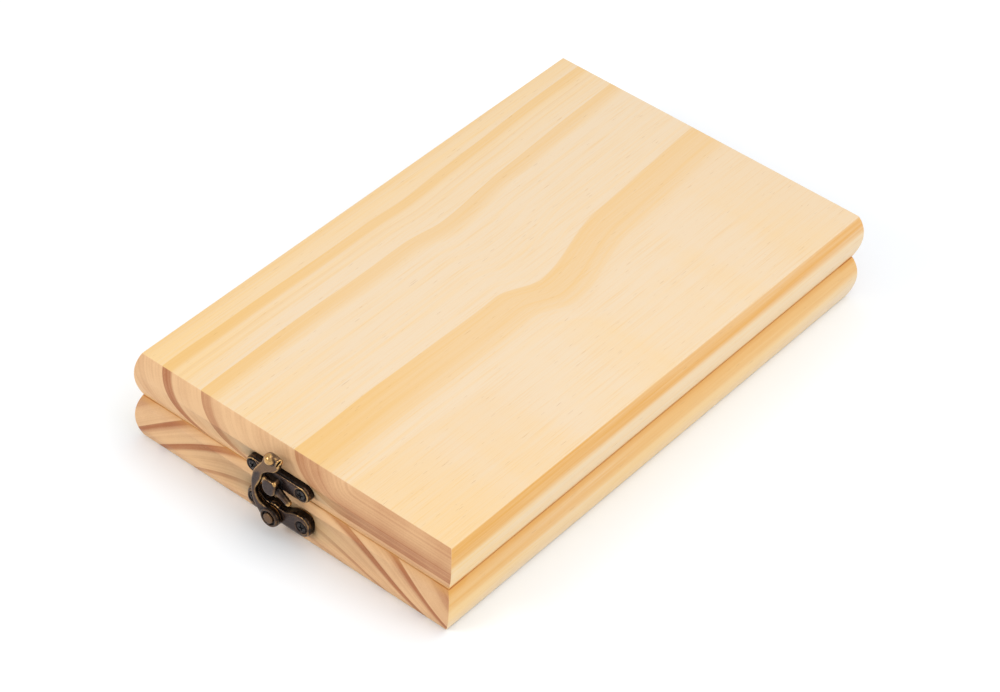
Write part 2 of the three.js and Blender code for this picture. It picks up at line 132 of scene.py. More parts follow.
class Bench:
    """Modelling operations that the sub-assemblies share."""

    ROD_SIDES = 48
    BALL_SIDES = 40
    BALL_RINGS = 24
    RING_SIDES = 56
    RING_TUBE_SIDES = 16
    ROUND = 0.5
    SMOOTH_BELOW = math.radians(35)

    @staticmethod
    def clear() -> None:
        """Deselects every object."""
        bpy.ops.object.select_all(action="DESELECT")

    @staticmethod
    def pick(piece: Piece) -> None:
        """Makes one object the only selected and active one.

        Args:
            piece: The object.
        """
        Bench.clear()
        piece.select_set(True)
        bpy.context.view_layer.objects.active = piece

    @staticmethod
    def settle(piece: Piece) -> Piece:
        """Moves an object's place, turn and scale into its mesh.

        Args:
            piece: The object.

        Returns:
            The same object, at the origin.
        """
        Bench.pick(piece)
        bpy.ops.object.transform_apply(location=True, rotation=True, scale=True)
        return piece

    @staticmethod
    def add(name: str, primitive: Callable[..., Any], **settings: Any) -> Piece:
        """Adds a primitive, names it and settles it.

        Args:
            name: The piece's name.
            primitive: The operator that adds it.
            **settings: The operator's settings.

        Returns:
            The object.
        """
        Bench.clear()
        primitive(**settings)
        piece = bpy.context.view_layer.objects.active
        piece.name = name
        piece.data.name = name
        return Bench.settle(piece)

    @staticmethod
    def block(name: str, low: Vector, high: Vector) -> Piece:
        """Adds a block between its lowest and its highest corner."""
        return Bench.add(name, bpy.ops.mesh.primitive_cube_add, size=1,
                         location=(low + high) / 2, scale=high - low)

    @staticmethod
    def rod(name: str, centre: Vector, radius: float, depth: float, axis: Axis,
            sides: int = ROD_SIDES, end_radius: float | None = None) -> Piece:
        """Adds a cylinder along an axis, or a cone where its far end has its own radius."""
        return Bench.add(name, bpy.ops.mesh.primitive_cone_add, vertices=sides, radius1=radius,
                         radius2=radius if end_radius is None else end_radius, depth=depth,
                         location=centre, rotation=axis.value)

    @staticmethod
    def ball(name: str, centre: Vector, radius: float) -> Piece:
        """Adds a ball."""
        return Bench.add(name, bpy.ops.mesh.primitive_uv_sphere_add, radius=radius,
                         segments=Bench.BALL_SIDES, ring_count=Bench.BALL_RINGS, location=centre)

    @staticmethod
    def ring(name: str, centre: Vector, major: float, minor: float) -> Piece:
        """Adds a ring by the radii of its centre line and its section. It faces the front."""
        return Bench.add(name, bpy.ops.mesh.primitive_torus_add, location=centre,
                         rotation=Axis.FRONT.value, major_segments=Bench.RING_SIDES,
                         minor_segments=Bench.RING_TUBE_SIDES, major_radius=major,
                         minor_radius=minor)

    @staticmethod
    def twin(source: Piece, name: str) -> Piece:
        """Copies an object with its mesh.

        Args:
            source: The object.
            name: The copy's name.

        Returns:
            The copy.
        """
        piece = source.copy()
        piece.data = source.data.copy()
        piece.name = name
        piece.data.name = name
        bpy.context.scene.collection.objects.link(piece)
        return piece

    @staticmethod
    def copy_of(node: str, name: str) -> Piece:
        """Copies a frame node and merges its loose triangles.

        Args:
            node: The node's name.
            name: The copy's name.

        Returns:
            The copy, which is a piece of its own.
        """
        piece = Bench.twin(frame["nodes"][node], name)
        piece.parent = None
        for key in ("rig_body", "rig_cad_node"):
            del piece[key]
        piece.data.materials.clear()
        with Bench.editing(piece):
            bpy.ops.mesh.remove_doubles(threshold=MERGE)
        return piece

    @staticmethod
    @contextmanager
    def editing(piece: Piece) -> Iterator[None]:
        """Holds one object in edit mode, where all of it is selected at first.

        Args:
            piece: The object.

        Yields:
            Nothing.
        """
        Bench.pick(piece)
        bpy.ops.object.mode_set(mode="EDIT")
        bpy.ops.mesh.select_all(action="SELECT")
        try:
            yield
        finally:
            bpy.ops.object.mode_set(mode="OBJECT")

    @staticmethod
    def choose(piece: Piece, kind: str, test: Callable[[Any], bool]) -> None:
        """Selects vertices, edges or faces of the object in edit mode.

        Args:
            piece: The object, in edit mode.
            kind: One of VERT, EDGE and FACE.
            test: Says which elements are selected.
        """
        bpy.ops.mesh.select_mode(type=kind)
        bpy.ops.mesh.select_all(action="DESELECT")
        mesh = bmesh.from_edit_mesh(piece.data)
        for element in {"VERT": mesh.verts, "EDGE": mesh.edges, "FACE": mesh.faces}[kind]:
            if test(element):
                element.select = True
        mesh.select_flush_mode()
        bmesh.update_edit_mesh(piece.data)

    @staticmethod
    def bevel(piece: Piece, width: float, steps: int,
              test: Callable[[Any], bool], kind: str = "EDGE") -> None:
        """Rounds edges.

        Args:
            piece: The object.
            width: The bevel's width.
            steps: The bevel's segments.
            test: Says which elements are rounded.
            kind: EDGE, or FACE for the edges round faces.
        """
        with Bench.editing(piece):
            Bench.choose(piece, kind, test)
            bpy.ops.mesh.bevel(offset=width, segments=steps, affect="EDGES",
                               profile=Bench.ROUND)

    @staticmethod
    def apply(piece: Piece, kind: str, **settings: Any) -> None:
        """Adds a modifier and applies it.

        Args:
            piece: The object.
            kind: The modifier's type.
            **settings: Its settings.
        """
        Bench.pick(piece)
        modifier = piece.modifiers.new(kind.title(), kind)
        for key, value in settings.items():
            setattr(modifier, key, value)
        bpy.ops.object.modifier_apply(modifier=modifier.name)

    @staticmethod
    def combine(piece: Piece, tool: Piece, operation: str) -> None:
        """Joins a tool to a piece by UNION or cuts it out by DIFFERENCE, and removes the tool."""
        Bench.apply(piece, "BOOLEAN", object=tool, operation=operation, solver="EXACT")
        bpy.data.objects.remove(tool)

    @staticmethod
    def smooth(piece: Piece, angle: float = SMOOTH_BELOW) -> None:
        """Shades a piece smooth, apart from edges sharper than an angle."""
        Bench.pick(piece)
        bpy.ops.object.shade_smooth_by_angle(angle=angle)


@dataclass(frozen=True)
class Casting:
    """Turns a sharp body into a cast one with soft edges and a wear attribute."""

    grain: float = 0.14 * MM
    soften: int = 12
    softness: float = 0.5
    wear_rounds: int = 9
    wear_scale: float = 0.05
    sheltered: float = 0.5

    def finish(self, piece: Piece, quiet: Sequence[Vector] = (),
               reach: float = 0.0) -> None:
        """Remeshes and softens a piece, then stores how far each point stands out.

        Args:
            piece: The object.
            quiet: Middles of the recesses whose rims wear less.
            reach: How far from a middle its rim lies.
        """
        Bench.apply(piece, "REMESH", mode="VOXEL", voxel_size=self.grain, adaptivity=0.0)
        Bench.apply(piece, "SMOOTH", factor=self.softness, iterations=self.soften)
        Bench.smooth(piece, math.pi)
        mesh = piece.data

        def read(rows: Any, name: str, width: int, kind: type = float) -> np.ndarray:
            """Reads one property of all the mesh's points or edges."""
            values = np.empty(len(rows) * width, kind)
            rows.foreach_get(name, values)
            return values.reshape(-1, width)

        points = read(mesh.vertices, "co", 3)
        normals = read(mesh.vertices, "normal", 3)
        first, second = read(mesh.edges, "vertices", 2, int).T
        count = len(points)
        shared = np.bincount(first, minlength=count) + np.bincount(second, minlength=count)

        def spread(values: np.ndarray) -> np.ndarray:
            """Averages values over each point's neighbours."""
            total = np.zeros_like(values)
            np.add.at(total, first, values[second])
            np.add.at(total, second, values[first])
            return total / shared.reshape(-1, *[1] * (values.ndim - 1))

        bulge = ((points - spread(points)) * normals).sum(axis=1) / self.grain
        for _ in range(self.wear_rounds):
            bulge = (bulge + spread(bulge)) / 2
        wear = np.clip(bulge / self.wear_scale, -1, 1)
        for middle in quiet:
            wear[np.linalg.norm(points - np.array(middle), axis=1) < reach] *= self.sheltered
        attribute = mesh.attributes.new("wear", "FLOAT", "POINT")
        attribute.data.foreach_set("value", wear.astype(np.float32))

    @staticmethod
    def handle(piece: Piece, handling_and_sheen_at: Callable[[Vector], float]) -> None:
        """Stores how much each point is worn by hands or carries painted sheen, as a function of its
        place gives it.
        """
        attribute = piece.data.attributes.new("handled_and_sheen", "FLOAT", "POINT")
        attribute.data.foreach_set("value", [handling_and_sheen_at(vert.co) for vert in piece.data.vertices])


# ---- Shader maths -----------------------------------------------------------------------


class Value:
    """A number in a shader. Expressions on it add Math nodes."""

    def __init__(self, shader: "Shader", socket: Socket) -> None:
        """Keeps the shader and the socket that gives the number."""
        self.shader = shader
        self.socket = socket

    def math(self, operation: str, *inputs: "Value | float") -> "Value":
        """Adds a Math node with its inputs in order."""
        made = self.shader.node("ShaderNodeMath", {"operation": operation}, dict(enumerate(inputs)))
        return Value(self.shader, made.outputs[0])

    def __add__(self, other: "Value | float") -> "Value":
        """Sum."""
        return self.math("ADD", self, other)

    def __radd__(self, other: float) -> "Value":
        """Sum with a number on the left."""
        return self.math("ADD", other, self)

    def __sub__(self, other: "Value | float") -> "Value":
        """Difference."""
        return self.math("SUBTRACT", self, other)

    def __rsub__(self, other: float) -> "Value":
        """Difference with a number on the left."""
        return self.math("SUBTRACT", other, self)

    def __mul__(self, other: "Value | float") -> "Value":
        """Product."""
        return self.math("MULTIPLY", self, other)

    def __rmul__(self, other: float) -> "Value":
        """Product with a number on the left."""
        return self.math("MULTIPLY", other, self)

    def __truediv__(self, other: "Value | float") -> "Value":
        """Quotient."""
        return self.math("DIVIDE", self, other)

    def __pow__(self, other: "Value | float") -> "Value":
        """Power."""
        return self.math("POWER", self, other)

    def __abs__(self) -> "Value":
        """Size without the sign."""
        return self.math("ABSOLUTE", self)

    def exp(self) -> "Value":
        """The exponential."""
        return self.math("EXPONENT", self)

    def root(self) -> "Value":
        """The square root."""
        return self.math("SQRT", self)

    def at_least(self, floor: float) -> "Value":
        """The number, or the floor where it is below that."""
        return self.math("MAXIMUM", self, floor)

    def least(self, other: "Value | float", blend: float) -> "Value":
        """The lesser of two numbers, blended where they are closer than blend."""
        return self.math("SMOOTH_MIN", self, other, blend)

    def between(self, low: float, high: float) -> "Value":
        """Makes 0 low and 1 high, and goes on in a straight line."""
        return self * (high - low) + low

    def swing(self, width: float) -> "Value":
        """Makes 0 to 1 a swing of this width round 0."""
        return self.between(-width / 2, width / 2)

    def step(self, start: float, end: float) -> "Value":
        """Rises smoothly from 0 to 1 between two values.

        Args:
            start: Where it leaves 0.
            end: Where it reaches 1, which may be below start.

        Returns:
            The step.
        """
        limits = {1: min(start, end), 2: max(start, end)}
        results = {3: float(start > end), 4: float(start < end)}
        made = self.shader.node("ShaderNodeMapRange", {"interpolation_type": "SMOOTHSTEP"},
                                {0: self, **limits, **results})
        return Value(self.shader, made.outputs[0])


@dataclass(frozen=True)
class Waves:
    """Noise by its waves for each millimetre along X, Y and Z, octaves and their strength."""

    stretch: Place
    detail: float = 2.0
    roughness: float = 0.5


class Shader:
    """A material under construction."""

    def __init__(self, name: str) -> None:
        """Starts a material with a Principled shader.

        Args:
            name: The material's name.
        """
        self.material = bpy.data.materials.new(name)
        self.material.use_nodes = True
        self.tree = self.material.node_tree
        self.tree.nodes.clear()
        self.surface = self.node("ShaderNodeBsdfPrincipled")
        output = self.node("ShaderNodeOutputMaterial")
        self.tree.links.new(self.surface.outputs[0], output.inputs[0])
        place = self.node("ShaderNodeTexCoord")
        scaled = self.node("ShaderNodeVectorMath", {"operation": "SCALE"},
                           {0: place.outputs["Object"], "Scale": PER_MM})
        self.place = scaled.outputs[0]
        self.x, self.y, self.z = self.split(self.place)
        self.facing_x, self.facing_y, self.facing_z = self.split(place.outputs["Normal"])

    def node(self, kind: str, settings: Mapping[str, Any] | None = None,
             inputs: Mapping[int | str, Any] | None = None) -> bpy.types.Node:
        """Adds a node.

        Args:
            kind: The node's type.
            settings: Its settings, which are set first.
            inputs: Values or links of its sockets.

        Returns:
            The node.
        """
        made = self.tree.nodes.new(kind)
        for key, value in (settings or {}).items():
            setattr(made, key, value)
        for key, value in (inputs or {}).items():
            self.feed(made.inputs[key], value)
        return made

    def feed(self, socket: Socket, value: Any) -> None:
        """Links a socket or sets its value.

        Args:
            socket: The input socket.
            value: A Value, an output socket or a constant.
        """
        if isinstance(value, Value):
            self.tree.links.new(value.socket, socket)
        elif isinstance(value, Socket):
            self.tree.links.new(value, socket)
        else:
            socket.default_value = value

    def split(self, vector: Socket) -> tuple[Value, Value, Value]:
        """Gives the three components of a vector."""
        parts = self.node("ShaderNodeSeparateXYZ", None, {0: vector})
        return tuple(Value(self, socket) for socket in parts.outputs)

    def noise(self, waves: Waves, place: Socket | None = None) -> Value:
        """Adds noise that is stretched along the axes.

        Args:
            waves: What the noise is like.
            place: Where it is read, if that isn't the object's own place.

        Returns:
            A number from 0 to 1.
        """
        scaled = self.node("ShaderNodeVectorMath", {"operation": "MULTIPLY"},
                           {0: place or self.place, 1: waves.stretch})
        made = self.node("ShaderNodeTexNoise", {"noise_dimensions": "3D"},
                         {"Vector": scaled.outputs[0], "Scale": 1.0, "Detail": waves.detail,
                          "Roughness": waves.roughness})
        return Value(self, made.outputs[0])

    def mix(self, below: Any, above: Any, share: "Value | float") -> Socket:
        """Mixes two colours, from below at a share of 0 to above at a share of 1."""
        made = self.node("ShaderNodeMix", {"data_type": "RGBA"}, {0: share, 6: below, 7: above})
        return made.outputs[2]

    def attribute(self, name: str) -> Value:
        """Reads a number stored on the mesh."""
        made = self.node("ShaderNodeAttribute",
                         {"attribute_name": name, "attribute_type": "GEOMETRY"})
        return Value(self, made.outputs["Fac"])

    def coat(self, colour: Socket, roughness: "Value | float",
             metallic: "Value | float" = 0.0, specular: float = 0.5) -> None:
        """Feeds the surface.

        Args:
            colour: Its colour.
            roughness: Its roughness.
            metallic: How metallic it is.
            specular: Its specular level.
        """
        for name, value in (("Base Color", colour), ("Roughness", roughness),
                            ("Metallic", metallic), ("Specular IOR Level", specular)):
            self.feed(self.surface.inputs[name], value)

    def relief(self, height: Value, depth: float, strength: float) -> None:
        """Feeds a bump to the normal. A height of 1 stands for the depth in metres."""
        made = self.node("ShaderNodeBump", None,
                         {"Strength": strength, "Distance": depth, "Height": height})
        self.feed(self.surface.inputs["Normal"], made.outputs[0])


# ---- Finishes ---------------------------------------------------------------------------


@dataclass(frozen=True)
class Late:
    """A band of late wood: it starts sharply and fades out."""

    start: float
    solid: float
    end: float
    depth: float
    edge: float = 0.35

    def strength(self, ring: Value) -> Value:
        """How dark the wood is at a ring coordinate, from 0 to depth."""
        rising = ring.step(self.start, self.start + self.edge)
        return rising * ring.step(self.end, self.solid) * self.depth


@dataclass(frozen=True)
class Finish:
    """A material by its name. Its paint method connects the shader."""

    name: str

    def paint(self, shader: Shader) -> None:
        """Connects the shader."""
        raise NotImplementedError

    def material(self) -> bpy.types.Material:
        """Builds the material."""
        shader = Shader(self.name)
        self.paint(shader)
        return shader.material


@dataclass(frozen=True)
class Pine(Finish):
    """Clear satin pine, sawn as one of the two boards. Its lengths are in millimetres."""

    bands: tuple[Late, ...] = ()
    pale: Colour = shade(227, 205, 175)
    honey: Colour = shade(232, 199, 146)
    band: Colour = shade(226, 184, 118)
    side_band_and_seam_shade: Colour = shade(220, 164, 86)
    end_pale: Colour = shade(226, 183, 136)
    end_band: Colour = shade(170, 106, 66)
    fleck: Colour = shade(176, 124, 72)
    seam_line: Colour = shade(190, 120, 56)
    fibre: Waves = Waves((2.6, 0.035, 2.6), 4.0, 0.62)
    streak: Waves = Waves((0.75, 0.012, 0.75), 3.0, 0.6)
    speck: Waves = Waves((3.0, 0.16, 3.0), 1.0)
    cloud: Waves = Waves((0.09, 0.03, 0.09))
    pore: Waves = Waves((5.0, 5.0, 5.0))
    growth: Waves = Waves((0.85, 0.004, 0.012), 3.0, 0.6)
    patches: Waves = Waves((0.03, 0.006, 0.05))
    end_patches: Waves = Waves((0.02, 0.02, 0.05), 1.0)
    # Where a surface counts as an end, a long side, or one that looks up or down
    end_facing: Span = (0.55, 0.85)
    side_facing: Span = (0.45, 0.8)
    level_facing: Span = (0.98, 0.9)
    # Where noise starts to show and where it is solid
    patches_show: Span = (0.35, 0.7)
    fibre_shows: Span = (0.48, 0.75)
    speck_shows: Span = (0.72, 0.77)
    pore_shows: Span = (0.6, 0.72)
    # Late wood along the grain
    grain_range: Span = (0.6, 1.4)
    fading: Span = (-100.0, -10.0)
    faded_range: Span = (1.0, 0.65)
    # On the base the long sides darken towards the seam: painted shade, broken up by grain streaks
    side_rise: Span = (8.5, 12.5)
    side_share: float = 0.7
    side_range: Span = (0.2, 1.6)
    side_honey: float = 0.15
    streak_tone: float = 0.9
    growth_tone: float = 1.5
    fibre_share: float = 0.5
    speck_share: float = 0.4
    # Late wood across the grain
    core_from: float = 0.45
    core_gain: float = 1.25
    core_range: Span = (0.7, 1.3)
    late_share: float = 0.25
    fibre_cut: float = 0.35
    growth_cut: float = 0.8
    cloud_cut: float = 0.5
    pore_cut: float = 0.1
    end_patch_share: float = 0.2
    # The seam between the boards, drawn on the outer walls only, with painted shade along it
    seam: float = 17.5
    outer_x: Span = (56.0, 59.0)
    outer_y: Span = (96.0, 99.0)
    # How far from the seam the painted shade reaches, and how much less it shows on the ends
    seam_shade_reach: Span = (3.0, 0.3)
    seam_shade_range: Span = (0.75, 0.25)
    seam_joint: Span = (0.5, 0.15)
    joint_share: float = 0.8
    gloss: float = 0.5
    fibre_gloss: float = 0.16
    end_gloss: float = 0.05
    specular: float = 0.32
    fibre_height: float = 0.6
    streak_height: float = 0.4
    relief_depth: float = 0.05 * MM
    relief_strength: float = 0.35

    def rings(self, shader: Shader) -> Value:
        """Gives the ring coordinate that the late bands lie along."""
        raise NotImplementedError

    def tone(self, shader: Shader) -> Value:
        """How honey-coloured the wood between the bands is."""
        return shader.noise(self.patches).step(*self.patches_show)

    def side_grain_and_shade(self, shader: Shader) -> Value:
        """How dark the long sides are at each height; on the base this is painted shade that darkens
        them towards the seam.
        """
        return shader.z.step(*self.side_rise) * self.side_share

    def end_share(self, shader: Shader) -> Value | float:
        """How strongly the bands show in the end grain."""
        return 1.0

    def end_tone(self, shader: Shader) -> Value:
        """How much darker the end grain is from place to place."""
        return shader.noise(self.end_patches) * self.end_patch_share

    def paint(self, shader: Shader) -> None:
        """Connects the shader."""
        ring = self.rings(shader)
        late = self.bands[0].strength(ring)
        for band in self.bands[1:]:
            late = late + band.strength(ring)
        across = abs(shader.facing_y).step(*self.end_facing)
        side = abs(shader.facing_x).step(*self.side_facing)
        fibre = shader.noise(self.fibre)
        streak = shader.noise(self.streak)
        follow = shader.node("ShaderNodeCombineXYZ", None, {0: ring, 1: shader.y, 2: shader.z})
        growth = shader.noise(self.growth, follow.outputs[0])

        faded = shader.y.step(*self.fading).between(*self.faded_range)
        grain = late * growth.between(*self.grain_range) * faded
        side_grain_and_shade = self.side_grain_and_shade(shader) * streak.between(*self.side_range)
        grain = grain * (1.0 - side) + side * side_grain_and_shade
        tone = self.tone(shader) + streak.swing(self.streak_tone) + growth.swing(self.growth_tone)
        body = shader.mix(self.pale, self.honey, tone + side * self.side_honey)
        along = shader.mix(body, shader.mix(self.band, self.side_band_and_seam_shade, side), grain)
        along = shader.mix(along, self.band, fibre.step(*self.fibre_shows) * self.fibre_share)
        speck = shader.noise(self.speck).step(*self.speck_shows)
        along = shader.mix(along, self.fleck, speck * self.speck_share)

        core = ((late - self.core_from) * self.core_gain).at_least(0.0)
        cut = core * growth.between(*self.core_range) + late * self.late_share
        cut = cut * self.end_share(shader) + self.end_tone(shader) + fibre.swing(self.fibre_cut)
        cut = cut + growth.swing(self.growth_cut) + shader.noise(self.cloud).swing(self.cloud_cut)
        cut = cut + shader.noise(self.pore).step(*self.pore_shows) * self.pore_cut
        wood = shader.mix(along, shader.mix(self.end_pale, self.end_band, cut), across)

        outside = abs(shader.x).step(*self.outer_x) + abs(shader.y).step(*self.outer_y)
        wall = outside * abs(shader.facing_z).step(*self.level_facing)
        off_seam = abs(shader.z - self.seam)
        # Painted shade along the seam: the outer walls take the side band colour within a few
        # millimetres of it
        seam_shade = off_seam.step(*self.seam_shade_reach) * wall * across.between(*self.seam_shade_range)
        wood = shader.mix(wood, self.side_band_and_seam_shade, seam_shade)
        joint = off_seam.step(*self.seam_joint) * wall
        wood = shader.mix(wood, self.seam_line, joint * self.joint_share)
        rough = self.gloss + fibre.swing(self.fibre_gloss) + across * self.end_gloss
        shader.coat(wood, rough, specular=self.specular)
        height = fibre * self.fibre_height + streak * self.streak_height
        shader.relief(height, self.relief_depth, self.relief_strength)


@dataclass(frozen=True)
class LidPine(Pine):
    """The lid board, flat-sawn near its right edge and quartered at its left."""

    bands: tuple[Late, ...] = (
        Late(-54.0, -51.0, -48.4, 0.9),
        Late(-47.6, -47.1, -45.8, 0.5),
        Late(-44.9, -44.6, -43.4, 0.3),
        Late(-38.3, -35.5, -30.4, 0.85),
        Late(0.3, 8.5, 21.0, 0.85, 0.5),
        Late(23.0, 24.0, 30.0, 0.16, 1.5),
        Late(38.0, 40.0, 46.0, 0.12, 1.5),
        Late(-66.0, -62.0, -58.0, 0.5),
        Late(-78.0, -74.0, -70.0, 0.6),
    )
    # The kink half way along, by its reach in front, behind and across
    kink: float = 6.4
    kink_ahead: Span = (-10.0, 8.0)
    kink_behind: Span = (46.0, 8.0)
    kink_across: Span = (-66.0, 15.0)
    # The rings drift towards the back, more at the right
    straight_until: float = -20.0
    drift_rate: float = 0.008
    drift_power: float = 1.5
    drift: float = 7.0
    drift_growth: float = 0.077
    waver: Waves = Waves((0.02, 0.016, 0.02), 1.0)
    waver_width: float = 3.0
    # They lean with depth, and lie flat at the right
    top: float = 35.0
    bend: float = 7.5
    lean: float = 4.0
    lean_growth: float = 0.0437
    flat_height: float = 24.1
    flat_slope: float = 0.0245
    flat_rate: float = 2.0
    flat_blend: float = 5.0
    patches: Waves = Waves((0.03, 0.008, 0.05))
    patch_share: float = 0.3
    pale_shift: float = 0.1
    left_tone: float = 0.5
    left_reach: Span = (-30.0, -62.0)
    front_tone: float = 0.4
    front_reach: Span = (-50.0, -105.0)
    right_tone: float = 0.15
    right_reach: Span = (20.0, 62.0)
    side_rise: Span = (27.5, 30.5)
    side_fall: Span = (35.0, 34.4)
    side_share: float = 0.95
    end_fade: Span = (-6.0, 6.0)
    end_fade_range: Span = (1.0, 0.55)
    end_dark: Span = (-2.0, 40.0)
    end_dark_share: float = 0.3
    end_patch_share: float = 0.15

    def rings(self, shader: Shader) -> Value:
        """Follows rings that kink half way along and flatten towards the right side."""
        x, y, z = shader.x, shader.y, shader.z
        kink = y.step(*self.kink_behind) * y.step(*self.kink_ahead) * x.step(*self.kink_across)
        back = ((y - self.straight_until) * self.drift_rate).at_least(0.0) ** self.drift_power
        drift = back * (self.drift + self.drift_growth * x)
        waver = shader.noise(self.waver).swing(self.waver_width)
        moved = x - kink * self.kink + drift + waver
        spread = ((self.top - z) * (1 / self.bend)).exp() - 1.0
        steep = (moved - self.lean * spread) / (1.0 + self.lean_growth * spread)
        flat = (z - self.flat_height - self.flat_slope * y) * self.flat_rate
        return steep.least(flat, self.flat_blend)

    def tone(self, shader: Shader) -> Value:
        """The left side and the front are the most honey-coloured."""
        left = shader.x.step(*self.left_reach) * self.left_tone
        front = shader.y.step(*self.front_reach) * self.front_tone
        right = shader.x.step(*self.right_reach) * self.right_tone
        patches = shader.noise(self.patches) * self.patch_share
        return left + front + right + patches - self.pale_shift

    def side_grain_and_shade(self, shader: Shader) -> Value:
        """The long sides are darkest under the lid's top arris."""
        return super().side_grain_and_shade(shader) * shader.z.step(*self.side_fall)

    def end_share(self, shader: Shader) -> Value | float:
        """The bands fade to the right, where the rings lie flat."""
        return shader.x.step(*self.end_fade).between(*self.end_fade_range)

    def end_tone(self, shader: Shader) -> Value:
        """The end grain darkens to the right, where the rings lie flat."""
        return shader.x.step(*self.end_dark) * self.end_dark_share + super().end_tone(shader)


# Ring coordinates of the base board count inwards from this radius, in millimetres
OUTER_RING = 200.0
RING_CORE = 0.35


def ring_band(outer: float, width: float, depth: float) -> Late:
    """Gives the late band of a growth ring with this outer radius."""
    start = OUTER_RING - outer
    return Late(start, start + width * RING_CORE, start + width, depth)


@dataclass(frozen=True)
class BasePine(Pine):
    """The base board, cut as circles round a heart below it."""

    bands: tuple[Late, ...] = (
        ring_band(71.0, 2.5, 0.5),
        ring_band(78.0, 3.4, 0.7),
        ring_band(87.0, 4.4, 0.8),
        ring_band(94.6, 4.6, 0.85),
        ring_band(105.5, 9.0, 0.75),
        ring_band(66.0, 2.0, 0.4),
    )
    heart_x: float = -0.4
    heart_z: float = -66.0
    wander: Waves = Waves((0.012, 0.012, 0.012), 1.0)
    wander_width: float = 5.0
    core_gain: float = 1.7

    def rings(self, shader: Shader) -> Value:
        """Follows circles round the heart, wavering slowly along the board."""
        across = shader.x - self.heart_x
        above = shader.z - self.heart_z
        wander = shader.noise(self.wander).swing(self.wander_width)
        return OUTER_RING - ((across * across + above * above).root() + wander)


@dataclass(frozen=True)
class AgedBrass(Finish):
    """Antique brass: dark patina on flats, near-black walls that are partly patina and partly
    painted shade, bright metal on worn edges.
    """

    name: str = "antique_brass"
    soot_and_shade: Colour = shade(20, 14, 13)
    patina: Colour = shade(66, 52, 48)
    bronze: Colour = shade(118, 88, 60)
    brass: Colour = shade(222, 176, 112)
    blotch: Waves = Waves((0.55, 0.55, 0.55), 3.0, 0.6)
    pit: Waves = Waves((3.2, 3.2, 3.2), 2.0, 0.6)
    flat_facing: Span = (0.5, 0.95)
    polish_and_highlight_from: Span = (1.0, 2.0)
    polish_and_highlight_share: float = 0.42
    rubbed_from: Span = (0.45, 1.05)
    rubbed_spots: float = 0.6
    warm_from: Span = (0.15, 0.7)
    warm_spots: float = 0.9
    handling_and_sheen_warmth: float = 0.75
    hollow_from: Span = (-0.15, -0.7)
    patina_range: Span = (0.15, 1.65)
    bronze_range: Span = (0.5, 0.8)
    brass_share: float = 0.75
    soot_share: float = 0.85
    metal_range: Span = (0.75, 1.0)
    gloss: float = 0.25
    pit_gloss: float = 0.2
    hollow_gloss: float = 0.12
    pit_height: float = 0.6
    blotch_height: float = 0.4
    relief_depth: float = 0.012 * MM
    relief_strength: float = 0.5

    def paint(self, shader: Shader) -> None:
        """Connects the shader."""
        wear = shader.attribute("wear")
        handled_and_sheen = shader.attribute("handled_and_sheen")
        blotch = shader.noise(self.blotch)
        pit = shader.noise(self.pit)
        flat = abs(shader.facing_y).step(*self.flat_facing)
        # On the knob: bright brass that is partly polish from fingers and partly a painted highlight
        polish_and_highlight = handled_and_sheen.step(*self.polish_and_highlight_from) * self.polish_and_highlight_share
        rubbed_and_highlight = (wear + polish_and_highlight + blotch.swing(self.rubbed_spots)).step(*self.rubbed_from)
        # Bronze where fingers hold the arm: partly handling polish, partly a painted reflection on
        # the neck and head
        warm = wear + handled_and_sheen * self.handling_and_sheen_warmth + blotch.swing(self.warm_spots)
        warm = warm.step(*self.warm_from) * handled_and_sheen.between(*self.bronze_range)
        hollow = wear.step(*self.hollow_from)
        # Faces that don't face front or back stay near-black: partly dark patina, partly painted
        # shade for their dark reflection
        base = shader.mix(self.soot_and_shade, self.patina, flat * blotch.between(*self.patina_range))
        base = shader.mix(base, self.bronze, warm)
        base = shader.mix(base, self.brass, rubbed_and_highlight * self.brass_share)
        base = shader.mix(base, self.soot_and_shade, hollow * self.soot_share)
        rough = self.gloss + pit.swing(self.pit_gloss) + hollow * self.hollow_gloss
        shader.coat(base, rough, rubbed_and_highlight.between(*self.metal_range))
        height = pit * self.pit_height + blotch * self.blotch_height
        shader.relief(height, self.relief_depth, self.relief_strength)


@dataclass(frozen=True)
class DarkSteel(Finish):
    """Blackened steel of the screws."""

    name: str = "screw_steel"
    black: Colour = shade(36, 33, 33)
    grey: Colour = shade(92, 86, 84)
    blotch: Waves = Waves((0.9, 0.9, 0.9), 3.0, 0.6)
    blotch_shows: Span = (0.35, 0.75)
    blotch_share: float = 0.6
    scratch: Waves = Waves((4.0, 4.0, 0.8), 3.0, 0.6)
    scratch_shows: Span = (0.5, 0.8)
    scratch_share: float = 0.3
    metallic: float = 0.9
    gloss: float = 0.34
    scratch_gloss: float = 0.25
    relief_depth: float = 0.006 * MM
    relief_strength: float = 0.4

    def paint(self, shader: Shader) -> None:
        """Connects the shader."""
        scratch = shader.noise(self.scratch)
        worn = shader.noise(self.blotch).step(*self.blotch_shows) * self.blotch_share
        worn = worn + scratch.step(*self.scratch_shows) * self.scratch_share
        base = shader.mix(self.black, self.grey, worn)
        rough = self.gloss + scratch.swing(self.scratch_gloss)
        shader.coat(base, rough, self.metallic)
        shader.relief(scratch, self.relief_depth, self.relief_strength)


